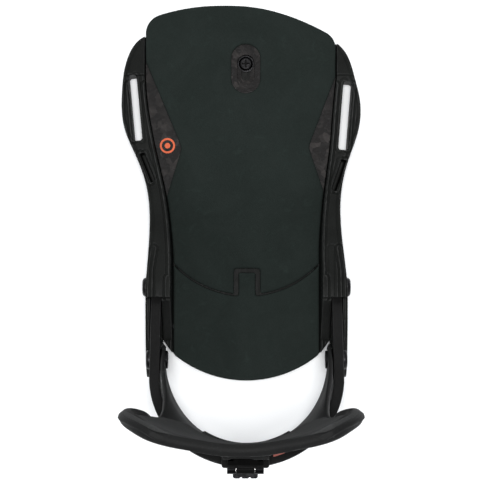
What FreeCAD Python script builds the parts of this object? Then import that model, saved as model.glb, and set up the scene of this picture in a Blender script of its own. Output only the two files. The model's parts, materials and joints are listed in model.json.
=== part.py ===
# Snowboard touring binding for the right foot, without its straps. Millimetres, +Y to the toe, +Z up.
# The base clamps onto board pucks between two rails; the toe pivots on two spring pins for climbing.
import FreeCAD, Part
import math
import os

V = FreeCAD.Vector
UP, FORWARD = V(0, 0, 1), V(0, 1, 0)

# ---------------------------------------------------------------- driving dimensions
FRAME_SHIFT = V(0, -6.2, 0)  # puts the origin under the middle of the overall box
HEEL_X = 3.5                 # centre line of the heel, hoop and lower highback
CHANNEL_X = 2.0              # centre line of the rails and of the toe pivot
FOOT_GAP = 1.0               # the moulded base stays this far above the board

# base floor and footbed
FLOOR_LOW, FLOOR_TOP = 13.0, 17.0
HEEL_HALF = 47.8             # half the width between the inner walls at the heel
PAD_THICK = 3.2              # foam over the toe ramp
RAMP_GAP = 0.2               # the ramp's running gap over the floor
RAMP_FIT = 0.6               # the ramp's gap to the side walls
RAMP_REAR_Y, RAMP_REAR_Z = -34.0, 20.0
RAMP_RISE = 0.0267           # slope of the ramp's top towards the toe
SPLIT_Y, SPLIT_R = -34.6, 64.7   # lowest point and radius of the joint between the two footbeds
KEY_X, KEY_HALF, KEY_TOP = 3.9, 5.5, -19.2
KEY_GAP_SIDE, KEY_GAP_FRONT, SPLIT_GAP = 3.0, 2.6, 1.0
SCREW_X, SCREW_Y = 3.1, 116.2
SCREW_TRAVEL = 8.0
OVAL_HALF_WIDTH, OVAL_HALF_LENGTH, OVAL_Y = 9.3, 15.8, 112.6

# walls and the sleeve that the hoop's arms slide in
WALL_OUTER = 63.7            # from the heel's centre line
SLEEVE_IN, SLEEVE_OUT = 53.5, 60.6
SLEEVE_FLOOR, ROOF_THICK = 21.5, 3.0
SLEEVE_END_Y = -34.0         # where the roof ends and the arms come out
WALL_REAR_Y = -86.0
INNER_WALL_REAR_Y = -61.7

# heel hoop
HOOP_OUT, HOOP_IN = 60.2, 53.9
HOOP_Y, HOOP_FLAT = -82.0, 7.0   # behind HOOP_Y the hoop is half an ellipse, flatter by HOOP_FLAT
HOOP_FRONT_Y = -10.0
HOOP_TAPER, HOOP_TAPER_LENGTH = 2.0, 14.0   # the arms' ends get thinner from the outside
HOOP_TRAVEL = 6.0
ANKLE_Y, ANKLE_Z = -28.2, 40.0
REAR_BOLT_Y, REAR_BOLT_Z = -55.0, 45.0
PIVOT_Y, PIVOT_Z, EYE_R = -73.0, 62.0, 8.6
BOLT_R, HEAD_R, NUT_R = 3.0, 6.0, 5.2
BUSH_FLANGE_R, PIVOT_NUT_R, PIVOT_NUT_THICK = 6.8, 5.6, 1.3
SPOT_FACE = 0.4              # how deep the ankle bolts' seats are in the walls

# highback: an arc with short straight ends at each height, leaning forward as it rises
BACK_OUT, ARM_THICK = 52.9, 2.4
BACK_REAR_Y, BACK_LEAN, BACK_LEAN_FROM = -127.2, 0.097, 100.0
# height, outside radius, half angle in degrees, straight end, centre line and thickness
BACK_SECTIONS = (
    (48.0, BACK_OUT, 89.5, 8.6, 3.5, ARM_THICK),
    (62.0, BACK_OUT, 89.5, 8.6, 3.5, ARM_THICK),
    (75.0, BACK_OUT, 88.5, 5.0, 3.5, ARM_THICK),
    (86.0, BACK_OUT, 85.0, 1.8, 3.5, 2.5),
    (100.0, BACK_OUT, 74.0, 0.8, 3.5, 2.7),
    (125.0, 62.0, 52.0, 0.6, 2.6, 3.0),
    (145.0, 80.0, 39.5, 0.6, 1.8, 3.3),
    (165.0, 101.0, 36.4, 0.6, 1.0, 3.6),
    (188.0, 118.0, 34.7, 0.6, 0.2, 3.6),
    (206.0, 119.0, 31.0, 0.6, 0.0, 3.6),
    (217.0, 119.0, 24.0, 0.6, 0.0, 3.6),
)
PAD_HALF_ANGLES = (33.0, 34.5, 35.8, 36.0, 34.8, 34.0, 30.4, 23.5)   # of the liner, from height 86 up
PAD_LOW, PAD_HIGH = 125.0, 215.5
PAD_CLEAR = 0.4
UPPER_PAD_THICK, LOWER_PAD_THICK = 2.9, 1.6

# forward-lean adjuster, in a frame that stands on the shell's back and leans with it
SPINE_X, SPINE_Z = 2.6, 110.0
SPINE_Y = BACK_REAR_Y + BACK_LEAN * (SPINE_Z - BACK_LEAN_FROM)
BOSS_HALF, BOSS_DEPTH, BOSS_LENGTH = 13.0, 1.4, 78.0
STEM_HALF, RACK_HALF, RACK_STEM, RACK_DEPTH = 7.0, 10.0, 2.8, 5.2
RACK_LOW, RACK_HIGH = 2.0, 74.0
TEETH, TOOTH_LOW, TOOTH_PITCH, TOOTH_DEPTH = 15, 3.0, 3.0, 0.9
BLOCK_HALF, BLOCK_LOW, BLOCK_HIGH, BLOCK_BACK = 14.0, -3.2, 24.6, 8.0
LUG_HALF, LEVER_HALF, KNUCKLE_R = 5.5, 10.8, 2.8
LEVER_PIVOT_Y, LEVER_PIVOT_Z = -8.8, 20.6
LEVER_PIN_R = 1.5

# ride rails and toe pivot
RAIL_OUT, RAIL_WEB, RAIL_LIP, RAIL_LIP_THICK = 48.0, 42.0, 37.0, 2.5
RAIL_REAR_Y, RAIL_FRONT_Y = -68.0, 100.0
TOUR_Y, TOUR_Z = 136.0, 8.4
PIN_R, PIN_INNER, PIN_OUTER = 3.4, 11.0, 32.0
PIN_TIP_R, PIN_STEP = 2.9, 24.2
PEG_R, PEG_X = 1.5, 15.5
PIN_TRAVEL, RELEASE_TRAVEL = 7.0, 8.0
BLOCK_W, BLOCK_Y0, BLOCK_Y1 = 24.0, 126.0, 145.6
PLATE_Z0, PLATE_Z1, PLATE_HALF = 1.6, 3.6, 21.0
CLEAR = 0.05                 # radial running clearance of pins and shafts


# ---------------------------------------------------------------- helpers
def plan(x, y):
    return V(x, y, 0)


def side(y, z):
    return V(0, y, z)


def wire(pieces, lift):
    """A closed wire: two points make a line, three an arc, more a smooth curve."""
    edges = []
    for piece in pieces:
        points = [lift(*p) for p in piece]
        if len(points) == 2:
            edges.append(Part.LineSegment(*points).toShape())
        elif len(points) == 3:
            edges.append(Part.Arc(*points).toShape())
        else:
            curve = Part.BSplineCurve()
            curve.interpolate(points)
            edges.append(curve.toShape())
    return Part.Wire(edges)


def polygon(points):
    """Straight pieces from point to point and back to the first."""
    return [[a, b] for a, b in zip(points, points[1:] + points[:1])]


def prism(pieces, z0, z1):
    """A plan outline raised from z0 to z1."""
    face = Part.Face(wire(pieces, plan))
    face.translate(V(0, 0, z0))
    return face.extrude(V(0, 0, z1 - z0))


def side_prism(pieces, x0, x1):
    """A side outline in (y, z), stretched from x0 to x1."""
    face = Part.Face(wire(pieces, side))
    face.translate(V(x0, 0, 0))
    return face.extrude(V(x1 - x0, 0, 0))


def box(x0, x1, y0, y1, z0, z1):
    return Part.makeBox(x1 - x0, y1 - y0, z1 - z0, V(x0, y0, z0))


def rod(r, start, end):
    start, end = V(*start), V(*end)
    return Part.makeCylinder(r, (end - start).Length, start, end - start)


def cone(r0, r1, start, end):
    start, end = V(*start), V(*end)
    return Part.makeCone(r0, r1, (end - start).Length, start, end - start)


def stadium(x, y, half_width, half_length, z0, z1):
    """A long hole along Y with round ends."""
    straight = half_length - half_width
    body = box(x - half_width, x + half_width, y - straight, y + straight, z0, z1)
    ends = [rod(half_width, (x, y + s * straight, z0), (x, y + s * straight, z1)) for s in (-1, 1)]
    return body.fuse(ends).removeSplitter()


def side_slot(x0, x1, y, z, r, travel):
    """A hole through a wall along X that lets a bolt move by travel each way along Y."""
    body = box(x0, x1, y - travel, y + travel, z - r, z + r)
    ends = [rod(r, (x0, y + s * travel, z), (x1, y + s * travel, z)) for s in (-1, 1)]
    return body.fuse(ends).removeSplitter()


def joined(shapes):
    return shapes[0].fuse(shapes[1:]).removeSplitter()


def rounded(shape, radius, chosen):
    """Rounds the edges that chosen() picks by their middle point."""
    edges = [e for e in shape.Edges if chosen(e)]
    return shape.makeFillet(radius, edges) if edges else shape


def middle(edge):
    return edge.valueAt((edge.FirstParameter + edge.LastParameter) / 2)


def runs_along(edge, axis):
    return abs(edge.tangentAt(edge.FirstParameter).dot(axis)) > 0.9


def group(shapes):
    return Part.makeCompound(shapes)


def both(make, centre=HEEL_X):
    """The same piece on the left (-1) and on the right (1) of a centre line."""
    return [make(centre, s) for s in (-1, 1)]


# ---------------------------------------------------------------- footbed outlines
LEFT_INNER = [(-62.1, 108.7), (-59.2, 79.6), (-54.6, 56.9), (-49.4, 34.3), (-45.6, 8.4), (-44.3, -14.0)]
RIGHT_INNER = [(61.7, 105.5), (59.7, 86.0), (57.6, 60.2), (55.0, 40.8), (52.4, 18.0), (51.3, -14.0)]
LEFT_OUTER = [(-61.6, 134.2), (-68.6, 128.6), (-73.4, 119.0), (-76.8, 98.0), (-75.3, 74.5),
              (-67.2, 55.0), (-60.2, 34.0), (-58.2, 14.0), (-58.9, -10.0), (-60.2, -40.0)]
RIGHT_OUTER = [(61.4, 129.6), (68.0, 122.4), (73.0, 108.0), (76.8, 92.0), (75.7, 72.5),
               (69.4, 54.0), (64.4, 33.0), (63.5, 14.0), (65.6, -12.0), (67.2, -40.0)]
TOE_LEFT = [(-59.6, 141.8), (-53.2, 147.0)]
TOE_EDGE = [(-53.2, 147.0), (-31.9, 151.9), (-8.0, 153.3), (11.0, 151.8), (28.0, 147.6), (45.9, 140.5),
            (54.0, 136.4)]
TOE_RIGHT = [(54.0, 136.4), (58.6, 132.9)]


def inset(points, by, centre=0.0):
    """The same points, each moved sideways towards the centre."""
    return [(x - math.copysign(by, x - centre), y) for x, y in points]


def split_arc(gap, half):
    """Three points of the joint between the footbeds, moved forward by gap."""
    y_end = SPLIT_Y + SPLIT_R - math.sqrt(SPLIT_R**2 - half**2)
    return (HEEL_X - half, y_end + gap), (HEEL_X, SPLIT_Y + gap), (HEEL_X + half, y_end + gap)


def ramp_outline():
    """The toe ramp in plan: between the walls and over the toe edge, running on behind the joint."""
    left, right = inset(LEFT_INNER, RAMP_FIT), inset(RIGHT_INNER, RAMP_FIT)
    toe_left, toe_right = (left[0][0], 134.0), (right[0][0], 127.5)
    rear_left, rear_right = (left[-1][0], -50.0), (right[-1][0], -50.0)
    return [
        [rear_left, left[-1]],
        left[::-1],
        [left[0], toe_left],
        [toe_left] + TOE_LEFT,
        TOE_EDGE,
        TOE_RIGHT + [toe_right],
        [toe_right, right[0]],
        right,
        [right[-1], rear_right],
        [rear_right, rear_left],
    ]


def behind_joint():
    """Everything behind the curved joint between the ramp and the heel pad."""
    left, mid, right = split_arc(SPLIT_GAP, 60.0)
    rear_right, rear_left = (right[0], -100.0), (left[0], -100.0)
    pieces = [[left, mid, right], [right, rear_right], [rear_right, rear_left], [rear_left, left]]
    return prism(pieces, 0, 60)


def ramp_top(y):
    return RAMP_REAR_Z + (y - RAMP_REAR_Y) * RAMP_RISE


def ramp_slab(low, high):
    """The space between two heights over the ramp's sloping top, at every x."""
    y0, y1 = -60.0, 170.0
    corners = [(y0, ramp_top(y0) + low), (y1, ramp_top(y1) + low), (y1, ramp_top(y1) + high),
               (y0, ramp_top(y0) + high)]
    return side_prism(polygon(corners), -90, 90)


def key_notch():
    return box(KEY_X - KEY_HALF - KEY_GAP_SIDE, KEY_X + KEY_HALF + KEY_GAP_SIDE, -60,
               KEY_TOP + KEY_GAP_FRONT, 0, 60)


def window(top, apex, bottom, radius, outside):
    """The part of the foam left open at one side, from the wall in to a rounded apex."""
    shape = prism(polygon([top, apex, bottom, (outside, bottom[1]), (outside, top[1])]), 10, 40)
    return rounded(shape, radius, lambda e: (middle(e) - V(apex[0], apex[1], 25)).Length < 1)


def toe_ramp():
    body = prism(ramp_outline(), FLOOR_TOP + RAMP_GAP, 40)
    body = body.cut([ramp_slab(0, 60), behind_joint(), key_notch()])
    track_floor = FLOOR_TOP + RAMP_GAP + 2.2
    track_y = SCREW_Y - SCREW_TRAVEL / 2
    track = stadium(SCREW_X, track_y, 5.6, 5.6 + SCREW_TRAVEL / 2, track_floor, 60)
    slot = stadium(SCREW_X, track_y, 2.8, 2.8 + SCREW_TRAVEL / 2, 0, 60)
    return body.cut([track, slot])


def toe_pad():
    body = prism(ramp_outline(), 10, 40).common(ramp_slab(0, PAD_THICK))
    left = window((-61.9, 118.0), (-38.4, 61.6), (-48.4, 29.0), 9.0, -80)
    right = window((62.0, 110.0), (43.8, 62.0), (54.4, 31.0), 7.0, 80)
    oval = stadium(SCREW_X, OVAL_Y, OVAL_HALF_WIDTH, OVAL_HALF_LENGTH, 10, 40)
    body = body.cut([behind_joint(), key_notch(), left, right, oval])
    return rounded(body, 0.9, lambda e: middle(e).z > ramp_top(middle(e).y) + PAD_THICK - 0.02)


def heel_pad():
    half = HEEL_HALF - RAMP_FIT
    left, mid, right = split_arc(0, half)
    corner_y, rear_half = -71.0, 46.6
    pieces = [
        [left, mid, right],
        [right, (HEEL_X + half, corner_y)],
        [(HEEL_X + half, corner_y), (HEEL_X + rear_half, corner_y - 1.6)],
        [(HEEL_X + rear_half, corner_y - 1.6), (HEEL_X, -89.2), (HEEL_X - rear_half, corner_y - 1.6)],
        [(HEEL_X - rear_half, corner_y - 1.6), (HEEL_X - half, corner_y)],
        [(HEEL_X - half, corner_y), left],
    ]
    top = RAMP_REAR_Z + PAD_THICK
    body = prism(pieces, FLOOR_TOP, top)
    key = box(KEY_X - KEY_HALF, KEY_X + KEY_HALF, -50, KEY_TOP, FLOOR_TOP, top)
    body = joined([body, key])
    return rounded(body, 0.9, lambda e: middle(e).z > top - 0.01)


# ---------------------------------------------------------------- base
def base_outline():
    left_end, right_end = HEEL_X - WALL_OUTER, HEEL_X + WALL_OUTER
    foot_in = SLEEVE_IN + 1.2
    left_foot, right_foot = HEEL_X - foot_in, HEEL_X + foot_in
    arc_half, arc_y = 46.8, -72.6
    toe = [(-56.0, 134.2), (-42.0, 141.6), (-6.0, 148.0), (34.0, 141.0), (54.0, 130.2)]
    left_outer = LEFT_OUTER[:-1] + [(left_end, -40.0)]
    right_outer = RIGHT_OUTER[:-1] + [(right_end, -40.0)]
    return [
        left_outer,
        [(left_end, -40.0), (left_end, WALL_REAR_Y)],
        [(left_end, WALL_REAR_Y), (left_foot, WALL_REAR_Y)],
        [(left_foot, WALL_REAR_Y), (left_foot, INNER_WALL_REAR_Y)],
        [(left_foot, INNER_WALL_REAR_Y), (HEEL_X - arc_half, arc_y)],
        [(HEEL_X - arc_half, arc_y), (HEEL_X, -89.2), (HEEL_X + arc_half, arc_y)],
        [(HEEL_X + arc_half, arc_y), (right_foot, INNER_WALL_REAR_Y)],
        [(right_foot, INNER_WALL_REAR_Y), (right_foot, WALL_REAR_Y)],
        [(right_foot, WALL_REAR_Y), (right_end, WALL_REAR_Y)],
        [(right_end, WALL_REAR_Y), (right_end, -40.0)],
        right_outer[::-1],
        [right_outer[0], toe[-1]],
        toe[::-1],
        [toe[0], left_outer[0]],
    ]


def wall_heights():
    """Side view of everything up to the tops of the walls, low at the toe and highest over the sleeve."""
    roof_y = SLEEVE_END_Y
    sweep = [(108.4, 28.4), (84, 28.0), (60, 29.6), (35, 34.5), (14, 43), (-8, 53.5), (-24, 59.6),
             (roof_y, 61)]
    return [
        [(WALL_REAR_Y - 10, 22), (WALL_REAR_Y + 8, 0)],
        [(WALL_REAR_Y + 8, 0), (124, 0)],
        [(124, 0), (160, 11)],
        [(160, 11), (160, 16)],
        [(160, 16), (134, 23.6), (108.6, 29.2)],
        [(108.6, 29.2), (108.4, 28.4)],
        sweep,
        [(roof_y, 61), (roof_y, 56.6)],
        [(roof_y, 56.6), (-50, 56.0), (-64, 53.4), (-76, 49.0), (-83, 43.0), (WALL_REAR_Y, 34.0)],
        [(WALL_REAR_Y, 34.0), (WALL_REAR_Y - 10, 22)],
    ]


def cavity_outline():
    """The footbed's space between the inner walls, open at the toe and the heel."""
    left, right = HEEL_X - HEEL_HALF, HEEL_X + HEEL_HALF
    return [
        LEFT_INNER,
        [LEFT_INNER[-1], (left, -95)],
        [(left, -95), (right, -95)],
        [(right, -95), RIGHT_INNER[-1]],
        RIGHT_INNER[::-1],
        [RIGHT_INNER[0], (RIGHT_INNER[0][0], 170)],
        [(RIGHT_INNER[0][0], 170), (LEFT_INNER[0][0], 170)],
        [(LEFT_INNER[0][0], 170), LEFT_INNER[0]],
    ]


def strap_slot(centre, half_length, half_width, slant, z0):
    """A slot through a toe lobe, turned by slant degrees in plan."""
    x, y = centre
    slot = box(-half_width, half_width, -half_length, half_length, z0, 80)
    slot = rounded(slot, half_width * 0.55, lambda e: abs(middle(e).z - (z0 + 80) / 2) < 1)
    slot.rotate(V(0, 0, 0), UP, slant)
    slot.translate(V(x, y, 0))
    return slot


def lowered_walls(by):
    """The space under the tops of the walls, lowered by a depth."""
    space = side_prism(wall_heights(), -90, 90)
    space.translate(V(0, 0, -by))
    return space


def top_groove(curve, near, far, depth):
    """A groove in the top of a wall that follows one of its sides, between two distances from it."""
    a, b = inset(curve, near), inset(curve, far)
    return prism([a, [a[-1], b[-1]], b[::-1], [b[0], a[0]]], 20, 90).cut(lowered_walls(depth))


def sleeve(centre, s):
    """The space that one arm of the hoop slides in: roofed in front, open above behind."""
    front = HOOP_FRONT_Y + HOOP_TRAVEL + 1.5
    inner, outer, tip = (centre + s * v for v in (SLEEVE_IN, SLEEVE_OUT, SLEEVE_OUT - HOOP_TAPER))
    ring = [(inner, SLEEVE_END_Y - 5), (inner, front), (tip, front), (outer, front - HOOP_TAPER_LENGTH),
            (outer, SLEEVE_END_Y - 5)]
    roofed = prism(polygon(ring), SLEEVE_FLOOR, 90).common(lowered_walls(ROOF_THICK))
    rear = box(*sorted((inner, outer)), WALL_REAR_Y - 5, SLEEVE_END_Y, SLEEVE_FLOOR, 90)
    return joined([roofed, rear])


def inner_wall_drop(centre, s):
    """What comes off the inner wall behind the sleeve, where it slopes down to the heel."""
    x0, x1 = sorted((centre + s * (HEEL_HALF - 6), centre + s * (SLEEVE_IN + 0.6)))
    corners = [(SLEEVE_END_Y - 0.01, 59.0), (INNER_WALL_REAR_Y - 1, 25.5), (-100, 25.5), (-100, 90),
               (SLEEVE_END_Y - 0.01, 90)]
    return side_prism(polygon(corners), x0, x1)


def bolt_line_holes(centre, s):
    """Holes for the ankle bolt and its nut, and for the rear hoop bolt and its sunk head."""
    def along_x(r, a, b, spot):
        return rod(r, (centre + s * a, *spot), (centre + s * b, *spot))
    ankle, rear = (ANKLE_Y, ANKLE_Z), (REAR_BOLT_Y, REAR_BOLT_Z)
    return [
        along_x(BOLT_R + CLEAR, SLEEVE_OUT - 1, WALL_OUTER + 5, ankle),
        along_x(HEAD_R + SPOT_FACE, WALL_OUTER - SPOT_FACE, WALL_OUTER + 5, ankle),
        along_x(4.4, HEEL_HALF - 5, SLEEVE_IN + 1, ankle),
        along_x(7.2, HEEL_HALF - 5, HEEL_HALF + 1.6, ankle),
        along_x(BOLT_R + CLEAR, SLEEVE_OUT - 1, WALL_OUTER + 5, rear),
        along_x(5.6, WALL_OUTER - 1.9, WALL_OUTER + 5, rear),
    ]


# centre, half length, half width, turn in degrees and lower end of the slots in the toe lobes
STRAP_SLOTS = (((-68.4, 87.1), 21.2, 2.9, 5.2, -5), ((67.5, 82.1), 22.2, 3.1, -4.6, -5))
ANCHOR_POCKETS = (((-60.0, 48.6), 10.0, 1.7, 22, 12), ((62.9, 43.6), 10.6, 1.7, -19, 12))
BUSHING_SPOTS = ((-66.0, 118.0), (66.0, 112.0), (-54.6, -70.0), (61.6, -70.0))
BUSHING_R, BUSHING_DEEP = 5.0, 3.0
# nearer side, farther side and depth of the grooves beside the outer rim and beside the footbed
RIM_GROOVE, SIDE_GROOVE = (1.5, 2.3, 0.7), (-1.8, -2.7, 0.8)


def floor_holes():
    """Holes in the floor for the ramp screw's nut, the pivot housing's screws and the rails' screws."""
    holes = [rod(BOLT_R + 0.2, (SCREW_X, SCREW_Y, 0), (SCREW_X, SCREW_Y, 20))]
    for x, y in HOUSING_SCREWS:
        holes.append(rod(1.6, (x, y, 0), (x, y, 30)))
        holes.append(cone(1.6, 3.2, (x, y, FLOOR_TOP - 1.7), (x, y, FLOOR_TOP)))
    for x, y in RAIL_SCREWS:
        holes.append(rod(2.0, (x, y, 5), (x, y, FLOOR_TOP)))
    return holes


HOUSING_SCREWS = [(CHANNEL_X + sx * 18, y) for sx in (-1, 1) for y in (129.2, 142.2)]
RAIL_SCREWS = [(CHANNEL_X + sx * 45, y) for sx in (-1, 1) for y in (-54.0, 16.0, 86.0)]


def baseplate():
    body = prism(base_outline(), FOOT_GAP, 70).common(side_prism(wall_heights(), -90, 90))
    body = body.cut(prism(cavity_outline(), FLOOR_TOP, 90))
    channel = box(CHANNEL_X - RAIL_OUT - 0.2, CHANNEL_X + RAIL_OUT + 0.2, -100, 160, -1, FLOOR_LOW)
    cuts = [channel]
    cuts += both(sleeve) + both(inner_wall_drop)
    for centre, half_length, half_width, slant, z0 in STRAP_SLOTS + ANCHOR_POCKETS:
        cuts.append(strap_slot(centre, half_length, half_width, slant, z0))
    for holes in both(bolt_line_holes):
        cuts += holes
    cuts += floor_holes()
    cuts += [top_groove(curve, *RIM_GROOVE) for curve in (LEFT_OUTER[2:-1], RIGHT_OUTER[2:-1])]
    cuts += [top_groove(curve, *SIDE_GROOVE) for curve in (LEFT_INNER, RIGHT_INNER)]
    cuts += [rod(BUSHING_R + 0.1, (x, y, -1), (x, y, FOOT_GAP + BUSHING_DEEP)) for x, y in BUSHING_SPOTS]
    return body.cut(cuts)


def base_bushings():
    """Soft pads under the four corners, which meet the board."""
    return group([rod(BUSHING_R, (x, y, 0), (x, y, FOOT_GAP + BUSHING_DEEP)) for x, y in BUSHING_SPOTS])


def rail(s):
    """One ride rail: a web under the floor and a lip that hooks the board's pucks."""
    x = [CHANNEL_X + s * v for v in (RAIL_LIP, RAIL_OUT, RAIL_WEB)]
    web = box(*sorted(x[1:]), RAIL_REAR_Y, RAIL_FRONT_Y, 0, FLOOR_LOW)
    lip = box(*sorted(x[:2]), RAIL_REAR_Y, RAIL_FRONT_Y, 0, RAIL_LIP_THICK)
    body = joined([web, lip])
    for sx, y in RAIL_SCREWS:
        if (sx - CHANNEL_X) * s > 0:
            body = body.cut([rod(2.0, (sx, y, -1), (sx, y, 20)), rod(2.9, (sx, y, -1), (sx, y, 3.2))])
    lip_corner = V(x[0], 0, RAIL_LIP_THICK / 2)
    short = [e for e in body.Edges if e.Length < RAIL_LIP_THICK + 0.1]
    lead = [e for e in short if (V(middle(e).x, 0, middle(e).z) - lip_corner).Length < 0.1]
    return body.makeChamfer(3.5, lead)


def rail_screws():
    def screw(x, y):
        head = rod(2.8, (x, y, 0.4), (x, y, 3.2)).cut(hex_bar(x, y, -0.1, 1.9, 1.3))
        return joined([head, rod(1.9, (x, y, 3.2), (x, y, FLOOR_TOP - 0.6))])
    return group([screw(x, y) for x, y in RAIL_SCREWS])


def hexagon(u, v, corner):
    """Outline of a hexagon about (u, v) whose corners are that far out."""
    turns = [math.radians(60 * i) for i in range(6)]
    return polygon([(u + corner * math.cos(t), v + corner * math.sin(t)) for t in turns])


def hex_bar(x, y, z0, z1, corner):
    """A hexagonal bar along Z, for a nut or to cut a drive recess."""
    return prism(hexagon(x, y, corner), z0, z1)


# ---------------------------------------------------------------- ramp screw
def ramp_screw():
    """Pan-head screw with a cross recess that clamps the ramp through its slot."""
    seat = FLOOR_TOP + RAMP_GAP + 2.2 + 0.9
    head = rod(4.5, (SCREW_X, SCREW_Y, seat), (SCREW_X, SCREW_Y, seat + 2.6))
    head = head.makeFillet(1.5, [e for e in head.Edges if middle(e).z > seat + 2.5])
    arm, wide, deep = 2.6, 0.55, 1.7
    cross = [box(SCREW_X - a, SCREW_X + a, SCREW_Y - b, SCREW_Y + b, seat + 2.6 - deep, seat + 3)
             for a, b in ((arm, wide), (wide, arm))]
    return joined([head, rod(2.45, (SCREW_X, SCREW_Y, 7), (SCREW_X, SCREW_Y, seat))]).cut(cross)


def ramp_washer():
    seat = FLOOR_TOP + RAMP_GAP + 2.2
    ring = rod(5.3, (SCREW_X, SCREW_Y, seat), (SCREW_X, SCREW_Y, seat + 0.9))
    return ring.cut(rod(2.6, (SCREW_X, SCREW_Y, 0), (SCREW_X, SCREW_Y, 40)))


def ramp_nut():
    """Flanged nut under the floor."""
    flange = rod(7.0, (SCREW_X, SCREW_Y, FLOOR_LOW - 1.4), (SCREW_X, SCREW_Y, FLOOR_LOW))
    body = joined([flange, hex_bar(SCREW_X, SCREW_Y, 7.6, FLOOR_LOW - 1.4, 4.6)])
    return body.cut(rod(2.5, (SCREW_X, SCREW_Y, 0), (SCREW_X, SCREW_Y, 40)))


# ---------------------------------------------------------------- toe pivot
def pivot_housing():
    """Housing under the toe: a cross bore for the two pins and a guide below for the release plate."""
    x = CHANNEL_X
    body = box(x - BLOCK_W, x + BLOCK_W, BLOCK_Y0, BLOCK_Y1, PLATE_Z1 + 0.2, FLOOR_LOW)
    for s in (-1, 1):
        inner, under, outer = x + s * (PLATE_HALF + 0.2), x + s * (PLATE_HALF - 2.4), x + s * BLOCK_W
        body = joined([
            body,
            box(*sorted((inner, outer)), BLOCK_Y0, BLOCK_Y1, 0.8, PLATE_Z1 + 0.2),
            box(*sorted((under, outer)), BLOCK_Y0, BLOCK_Y1, 0.8, PLATE_Z0 - 0.2),
        ])
    body = rounded(body, 2.0, lambda e: e.Length > 5 and abs(abs(middle(e).x - x) - BLOCK_W) < 0.01
                   and runs_along(e, UP))
    body = body.cut(rod(PIN_R + CLEAR, (x - 40, TOUR_Y, TOUR_Z), (x + 40, TOUR_Y, TOUR_Z)))
    for s in (-1, 1):
        ends = sorted((x + s * (PEG_X + PEG_R + 0.3), x + s * (PEG_X - PIN_TRAVEL - PEG_R - 0.3)))
        body = body.cut(box(*ends, TOUR_Y - PEG_R - 0.2, TOUR_Y + PEG_R + 0.2, 0, TOUR_Z))
    return body.cut([rod(1.6, (sx, sy, 6.0), (sx, sy, 20)) for sx, sy in HOUSING_SCREWS])


def housing_screws():
    def screw(x, y):
        head = cone(1.5, 3.1, (x, y, FLOOR_TOP - 1.7), (x, y, FLOOR_TOP - 0.05))
        shank = rod(1.5, (x, y, 6.4), (x, y, FLOOR_TOP - 1.7))
        return joined([head, shank]).cut(hex_bar(x, y, FLOOR_TOP - 1.2, FLOOR_TOP + 1, 1.3))
    return group([screw(x, y) for x, y in HOUSING_SCREWS])


def pivot_pin(s):
    """One pivot pin: its tip stands out of the housing, its peg reaches down into the release plate."""
    x = CHANNEL_X
    shaft = rod(PIN_R, (x + s * PIN_INNER, TOUR_Y, TOUR_Z), (x + s * PIN_STEP, TOUR_Y, TOUR_Z))
    tip = rod(PIN_TIP_R, (x + s * PIN_STEP, TOUR_Y, TOUR_Z), (x + s * PIN_OUTER, TOUR_Y, TOUR_Z))
    tip = tip.makeChamfer(0.6, [e for e in tip.Edges if abs(middle(e).x - (x + s * PIN_OUTER)) < 0.01])
    peg_x = x + s * PEG_X
    peg = rod(PEG_R, (peg_x, TOUR_Y, PLATE_Z0 + 0.2), (peg_x, TOUR_Y, TOUR_Z))
    return joined([shaft, tip, peg])


def release_plate():
    """Plate with two slanting slots: pulled forward, it draws both pegs and their pins inwards."""
    x = CHANNEL_X
    body = box(x - PLATE_HALF, x + PLATE_HALF, BLOCK_Y0 + 0.6, BLOCK_Y1 + 1.4, PLATE_Z0, PLATE_Z1)
    for s in (-1, 1):
        start = V(x + s * PEG_X, TOUR_Y, 0)
        end = V(x + s * (PEG_X - PIN_TRAVEL), TOUR_Y - RELEASE_TRAVEL, 0)
        along = (end - start).normalize()
        across = V(-along.y, along.x, 0) * (PEG_R + 0.15)
        quad = [start + across, end + across, end - across, start - across]
        slot = prism(polygon([(p.x, p.y) for p in quad]), 0, 5)
        ends = [rod(PEG_R + 0.15, (p.x, p.y, 0), (p.x, p.y, 5)) for p in (start, end)]
        body = body.cut([slot] + ends)
    return body


def release_grip():
    """Finger grip on the front of the release plate, tucked under the toe edge."""
    x, half, y0 = CHANNEL_X, 15.0, BLOCK_Y1 + 1.4
    body = box(x - half, x + half, y0, y0 + 3.4, 1.0, 9.0)
    starts = [x - half + 2 + 5 * i for i in range(6)]
    grooves = [box(start, start + 1.4, y0 + 2.6, y0 + 5, 2.4, 7.6) for start in starts]
    body = rounded(body, 1.5, lambda e: runs_along(e, UP) and middle(e).y > y0 + 1)
    return body.cut(grooves)


def pin_spring():
    """Compression spring between the pins."""
    gap, wire_r, turns = 0.3, 0.4, 7
    length = 2 * (PIN_INNER - gap - wire_r)
    helix = Part.makeHelix(length / turns, length, 2.1)
    profile = Part.Wire([Part.makeCircle(wire_r, V(2.1, 0, 0), V(0, 1, 0))])
    coil = Part.Wire(helix.Edges).makePipeShell([profile], True, True)
    coil.rotate(V(0, 0, 0), V(0, 1, 0), 90)
    coil.translate(V(CHANNEL_X - length / 2, TOUR_Y, TOUR_Z))
    return coil


# ---------------------------------------------------------------- heel hoop
def hoop_bow(half):
    """Half an ellipse behind the straight arms, from the left to the right."""
    turns = [math.pi * i / 14 for i in range(15)]
    return [(HEEL_X - half * math.cos(t), HOOP_Y - (half - HOOP_FLAT) * math.sin(t)) for t in turns]


def bow_ring(outer, inner):
    """The bowed part of the hoop, or a ring inside or outside it, at every height."""
    a, b = hoop_bow(outer), hoop_bow(inner)
    return prism([a, [a[-1], b[-1]], b[::-1], [b[0], a[0]]], 10, 130)


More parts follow.
